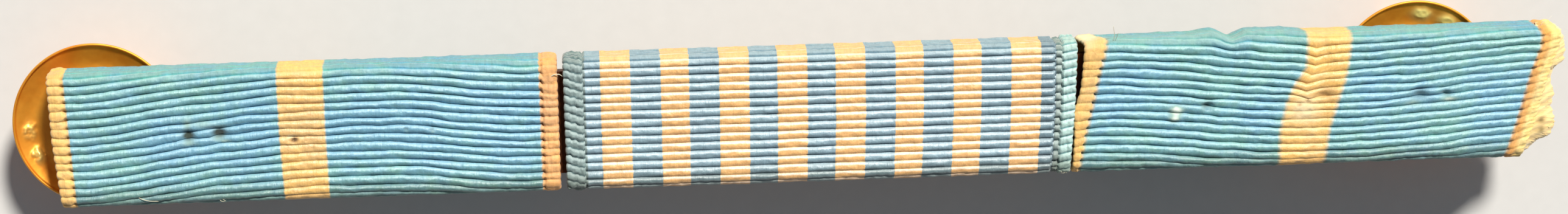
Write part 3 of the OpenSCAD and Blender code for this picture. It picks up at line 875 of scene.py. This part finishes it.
# Outlines of the frayed right edge, top to bottom, as place from the ribbon's left end and height
FRAY_OUTER = np.array([
    (31.6, 4.62), (32.4, 4.62), (32.95, 4.50), (33.32, 4.20), (33.56, 3.75), (33.70, 3.17),
    (33.79, 2.57), (33.74, 2.05), (33.52, 1.74), (33.18, 1.52), (32.94, 1.24), (32.83, 0.75),
    (32.89, 0.18), (33.03, -0.25), (33.06, -0.69), (32.95, -1.05), (32.88, -1.30), (33.04, -1.64),
    (33.19, -2.34), (33.14, -2.90), (32.94, -3.24), (32.58, -3.54), (31.99, -3.76), (31.74, -3.96),
    (31.45, -4.19), (31.15, -4.46), (30.95, -4.58), (30.30, -4.60),
])
FRAY_INNER = np.array([
    (31.3, 4.60), (31.8, 4.20), (31.55, 2.30), (31.30, 1.16), (31.00, -0.23), (30.55, -2.09),
    (30.00, -4.20), (29.80, -4.55),
])
FRAY_ROWS = 300
FRAY_COLUMNS = 24
FRAY_T = 0.2
FRAY_TOP = 2.42
FRAY_DROOP = 1.0
LOOSE_THREADS = 60


def along_line(points, share):
    """Places at a share, 0 to 1, of the length of a line of points."""
    length = np.concatenate([[0], np.cumsum(np.hypot(*np.diff(points, axis=0).T))])
    return [np.interp(share * length[-1], length, column) for column in points.T]


def frayed_edge(name, material):
    """The loose woven edge behind the right selvage, as one thin crumpled sheet with ragged lobes."""
    rows, columns = np.linspace(0, 1, FRAY_ROWS), np.linspace(0, 1, FRAY_COLUMNS)
    share, out = np.meshgrid(rows, columns, indexing="ij")
    x0, y0 = along_line(FRAY_INNER, share)
    x1, y1 = along_line(FRAY_OUTER, share)
    jag = 0.025 * noise(share * 70, out * 0, 81) + 0.015 * noise(share * 190, out * 0, 82)
    reach = out * (1 + jag * out)
    x, y = x0 + (x1 - x0) * reach, y0 + (y1 - y0) * reach
    rib = (y - 0.35 * (x - x0)) / PITCH
    x = x + 0.03 * out * out * np.cos(2 * math.pi * rib)
    ridge = 0.035 * (1 - 0.8 * out) * np.cos(2 * math.pi * rib)
    ridge = ridge + 0.05 * noise(x * 1.3, y * 1.3 + 40, 83)
    ridge = ridge + 0.012 * noise(x * 1.1, y * 9 + 40, 84) + 0.012 * noise(x * 4, y * 4 + 40, 85)
    top = FRAY_TOP - FRAY_DROOP * out * out + ridge
    low = top - FRAY_T * np.sqrt(np.clip(1 - out * out, 0, 1)) - 0.02
    layers = []
    for z in (top, low):
        layers.append(np.stack([x + RIGHT_X, y + MID_Y, z + BACK_Z], -1).reshape(-1, 3))
    index = np.arange(FRAY_ROWS * FRAY_COLUMNS).reshape(FRAY_ROWS, FRAY_COLUMNS)
    corners = [index[:-1, :-1], index[1:, :-1], index[1:, 1:], index[:-1, 1:]]
    quads = np.stack(corners, -1).reshape(-1, 4)
    count = FRAY_ROWS * FRAY_COLUMNS
    faces = quads.tolist() + (quads[:, ::-1] + count).tolist()
    rim = np.concatenate([index[0, :-1], index[:-1, -1], index[-1, :0:-1], index[:0:-1, 0]])
    after = np.roll(rim, -1)
    faces += np.stack([rim, after, after + count, rim + count], -1).tolist()
    # The hollows between the ridges are darkened in the yarn's colour: painted shade.
    shade = 0.5 - 0.5 * np.cos(2 * math.pi * rib)
    olive = bell(np.hypot((x - 32.05) / 0.30, (y + 2.15) / 0.25))
    olive = olive + bell(np.hypot((x - 32.1) / 0.3, (y + 2.85) / 0.2))
    wear_and_painted_light = np.stack([shade, np.clip(olive, 0, 1), out], -1).reshape(-1, 3)
    wear_and_painted_light = np.concatenate([wear_and_painted_light, wear_and_painted_light])
    piece = mesh_object(name, np.concatenate(layers), faces, material, {"wear_and_painted_light": wear_and_painted_light})
    return piece, np.stack([x + RIGHT_X, y + MID_Y, top + BACK_Z], -1)


def fibres(name, runs, material):
    """Thin closed tubes through lists of points; a run is (points, thickness)."""
    sides, steps = 6, 9
    turns = np.linspace(0, 2 * math.pi, sides, endpoint=False)
    points, faces = [], []
    for run, thick in runs:
        run = np.array(run, dtype=float)
        share = np.linspace(0, 1, len(run))
        fine = np.linspace(0, 1, steps)
        line = np.stack([softened(share, column, fine, 0.12) for column in run.T], -1)
        line[0], line[-1] = run[0], run[-1]
        ahead = np.gradient(line, axis=0)
        ahead /= np.linalg.norm(ahead, axis=1, keepdims=True)
        aside = np.cross(ahead, (0.31, 0.11, 0.94))
        aside /= np.linalg.norm(aside, axis=1, keepdims=True)
        above = np.cross(aside, ahead)
        taper = np.linspace(1, 0.6, steps)[:, None, None] * thick / 2
        sideways = aside[:, None] * np.cos(turns)[None, :, None]
        upwards = above[:, None] * np.sin(turns)[None, :, None]
        ring = line[:, None] + taper * (sideways + upwards)
        base = len(points)
        points += ring.reshape(-1, 3).tolist()
        index = base + np.arange(steps * sides).reshape(steps, sides)
        after = np.roll(index, -1, axis=1)
        faces += np.stack([index[:-1], after[:-1], after[1:], index[1:]], -1).reshape(-1, 4).tolist()
        faces += [index[0, ::-1].tolist(), index[-1].tolist()]
    piece = mesh_object(name, points, faces, material)
    return piece


def yarn(name, light, deep):
    """Loose silk yarn, lighter and darker from thread to thread, and darkened in its hollows as painted
    shade.
    """
    n = Nodes(name)
    where = n.add("ShaderNodeTexCoord").outputs["Object"]
    split = n.add("ShaderNodeSeparateXYZ")
    n.link(where, split.inputs[0])
    x, y, _ = split.outputs
    slant = n.scaled(y, 9000, n.times(x, -3100))
    lay = n.vector(n.times(x, 900), slant)
    threads = n.noise(lay, 1.0, 3, 0.6)
    cloud = n.noise(where, 1400, 3, 0.6)
    hollow_shade, olive, out = n.attribute("wear_and_painted_light")
    spread = n.scaled(threads, 0.9, n.scaled(cloud, 0.8, -0.4), clamp=True)
    colour = n.mix(spread, deep, light)
    shade = n.times(hollow_shade, n.scaled(out, -0.5, 0.55))
    colour = n.mix(shade, colour, n.gamma(colour, 1.8))
    colour = n.mix(n.times(olive, 0.8), colour, srgb(96, 80, 36))
    n.link(colour, n.shader.inputs["Base Color"])
    n.fixed("Roughness", 0.72)
    n.fixed("Sheen Weight", 0.3)
    n.bump(n.math("ADD", threads, n.times(cloud, 0.8)), 0.5, 0.03 * MM)
    return n.material


cream_yarn = yarn("cream_yarn", srgb(250, 228, 170), srgb(228, 190, 120))
pale_lint = yarn("pale_lint", srgb(234, 228, 204), srgb(204, 194, 162))
fray, sheet = frayed_edge("frayed_edge", cream_yarn)

random = np.random.default_rng(91)
ends = []
for _ in range(LOOSE_THREADS):
    row, column = random.integers(4, FRAY_ROWS - 4), random.integers(17, FRAY_COLUMNS)
    at = sheet[row, column]
    outward = sheet[row, -1] - sheet[row, 0]
    outward /= np.linalg.norm(outward)
    bend = random.normal(0, 0.25, 3) * (1, 1, 0.3)
    reach = random.uniform(0.10, 0.22) * (1 if column < FRAY_COLUMNS - 5 else 0.6)
    middle = at + outward * reach * 0.55 + (0, 0, 0.02) + bend * reach * 0.3
    ends.append(([at - outward * 0.25, at + (0, 0, 0.01), middle, at + outward * reach + bend * reach],
                 random.uniform(0.02, 0.035)))
threads = fibres("frayed_threads", ends, cream_yarn)


def in_ribbon(side, points):
    """Points given as place, height and rise above the face, turned into the shared frame."""
    return [(CLOTHS[side][0]["x"] + x, MID_Y + y, FACE_Z + z) for x, y, z in points]


# Single loose fibres: ribbon, points as in_ribbon takes them, thickness
LINT = [
    ("left", [(33.5, 3.40, -0.1), (33.8, 3.62, 0.12), (34.15, 3.60, 0.05), (34.32, 3.42, -0.12)], 0.08),
    ("right", [(2.1, 4.5, -0.5), (2.12, 5.0, -0.2), (2.03, 5.4, 0), (2.0, 5.7, 0.1)], 0.05),
    ("right", [(2.2, 4.5, -0.5), (2.3, 4.9, -0.2), (2.25, 5.1, 0), (2.38, 5.2, 0.1)], 0.04),
    ("right", [(31.6, 4.4, -0.6), (31.75, 4.85, -0.5), (32.1, 5.0, -0.45), (32.4, 5.25, -0.5)], 0.035),
    ("left", [(5.6, -4.0, -0.1), (5.9, -4.1, 0.06), (6.4, -4.25, 0.0), (6.9, -4.3, -0.15)], 0.05),
    ("left", [(10.9, -4.3, -0.3), (11.1, -4.5, -0.25), (11.4, -4.45, -0.2), (11.2, -4.3, -0.1)], 0.035),
]
# Where short fibres stick out: ribbon, place, height, rise, half width, half height, how many
TUFTS = [("middle", 34.0, -4.45, -0.35, 0.35, 0.12, 14)]
for side, at_x, at_y, at_z, half_w, half_h, count in TUFTS:
    for _ in range(count):
        x, y = at_x + half_w * random.normal(0, 0.5), at_y + half_h * random.normal(0, 0.5)
        turn, reach = random.uniform(0, 2 * math.pi), random.uniform(0.12, 0.26)
        aside, ahead = reach * math.cos(turn), reach * math.sin(turn) * 0.7
        kink = random.normal(0, 0.06, 2)
        LINT.append((side, [
            (x - aside, y - ahead, at_z - 0.08), (x + kink[0], y + kink[1], at_z + 0.05),
            (x + aside * 0.6, y + ahead * 0.6, at_z + 0.06), (x + aside, y + ahead, at_z - 0.04),
        ], random.uniform(0.025, 0.04)))
lint = [(in_ribbon(side, run), thick) for side, run, thick in LINT]
fibres("lint", lint, pale_lint)

# ---- Brass parts ------------------------------------------------------------------------------

# The disc's sizes: its rim's section and centre, pin hole, floor, dish, and the marks in the dish
DISC_SEGMENTS = 384
RIM_R = 0.09
RIM_Z = 1.21
RIM_X = 5.51
HOLE_R = 0.70
FLOOR_Z = 0.52
DISH = 0.84
MARK_AT = 4.58
MARK_H = 0.24
MARK_HALF_ANGLE = 12
MARK_R = (0.40, 0.58)


def disc_profile():
    """Half the disc's section, from the pin hole over dish and rim to its back, and the dish's rows."""
    reach = np.concatenate([np.arange(0.75, 3.7, 0.25), np.arange(3.75, 5.40, 0.055)])
    floor = [(r, FLOOR_Z + DISH * float(smooth((r - 3.9) / 2.4))) for r in reach]
    turns = np.radians(np.arange(195, -91, -15))
    rim = [(RIM_X + RIM_R * math.cos(t), RIM_Z + RIM_R * math.sin(t)) for t in turns]
    below = [(5.30, 0.80), (5.10, 0.32), (4.98, 0.06), (4.90, 0.0), (3.6, 0.0), (2.0, 0.0)]
    below.append((HOLE_R, 0.0))
    return np.array([(HOLE_R, 0.03), (HOLE_R, 0.49)] + floor + rim + below), len(floor)


def clutch_disc(name, node, material, marks_turn, marks_size, crumple):
    """A dished disc with two pairs of raised marks; crumple makes them rough, and less pale."""
    low, high = (np.array(corner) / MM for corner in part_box(node))
    centre = (low + high) / 2
    profile, dish_rows = disc_profile()
    turns = np.linspace(0, 2 * math.pi, DISC_SEGMENTS, endpoint=False)
    r, turn = np.meshgrid(profile[:, 0], turns, indexing="ij")
    z = np.repeat(profile[:, 1][:, None], DISC_SEGMENTS, axis=1)
    x, y = r * np.cos(turn), r * np.sin(turn)
    in_dish = np.zeros_like(z)
    in_dish[2:2 + dish_rows] = 1
    dents = 0.025 * noise(x * 0.8 + 40, y * 0.8 + 40, 71)
    dents = dents + 0.008 * noise(x * 2.7 + 40, y * 2.7 + 40, 72)
    z = z + dents * in_dish * smooth((r - 1) / 1) * smooth((5.3 - r) / 0.3)
    ragged = 0.35 * crumple * noise(x * 2.9 + 60, y * 2.9 + 60, 73)
    crumpled = 0.55 * noise(x * 4.3 + 60, y * 4.3 + 60, 74)
    crumpled = crumpled + 0.2 * noise(x * 8.1 + 60, y * 8.1 + 60, 75)
    raised = np.zeros_like(z)
    for pair in (0, 180):
        for side in (-MARK_HALF_ANGLE, MARK_HALF_ANGLE):
            at = math.radians(marks_turn + pair + side)
            outwards = x * math.cos(at) + y * math.sin(at) - MARK_AT
            sideways = y * math.cos(at) - x * math.sin(at)
            near = np.hypot(outwards / MARK_R[0], sideways / MARK_R[1]) / marks_size + ragged
            raised += in_dish * np.minimum(1.5 * bell(near), 1) * (0.75 + crumple * crumpled)
    z = z + MARK_H * raised
    points = np.stack([x + centre[0], y + centre[1], z + low[2]], -1).reshape(-1, 3)
    rings = len(profile)
    index = np.arange(rings * DISC_SEGMENTS).reshape(rings, DISC_SEGMENTS)
    after = np.roll(index, -1, axis=1)
    below = np.roll(index, -1, axis=0)
    below_after = np.roll(after, -1, axis=0)
    faces = np.stack([index, below, below_after, after], -1).reshape(-1, 4).tolist()
    # How pale the marks are painted: a painted reflection.
    pale = np.clip(raised, 0, 1) * (1 - 0.7 * crumple)
    wear_and_painted_light = np.stack([pale, 0 * z, 0 * z], -1).reshape(-1, 3)
    piece = mesh_object(name, points, faces, material, {"wear_and_painted_light": wear_and_painted_light})
    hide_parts(node)


gilt = brass("gilt_brass", srgb(254, 176, 60), srgb(224, 134, 28), rough=0.46, metal=0.62)
dull = brass("dull_brass", srgb(124, 66, 32), srgb(62, 34, 20), rough=0.5, metal=0.8)


def dress(node, material):
    mesh = bpy.data.objects[node].data
    mesh.materials.clear()
    mesh.materials.append(material)


clutch_disc("disc_left", "clutch_disc_left", gilt, marks_turn=197, marks_size=0.8, crumple=0.85)
clutch_disc("disc_right", "clutch_disc_right", gilt, marks_turn=71, marks_size=1.05, crumple=0.2)
for node in ("clutch_ears_left", "clutch_ears_right"):
    dress(node, gilt)
dress("mount_bar", dull)
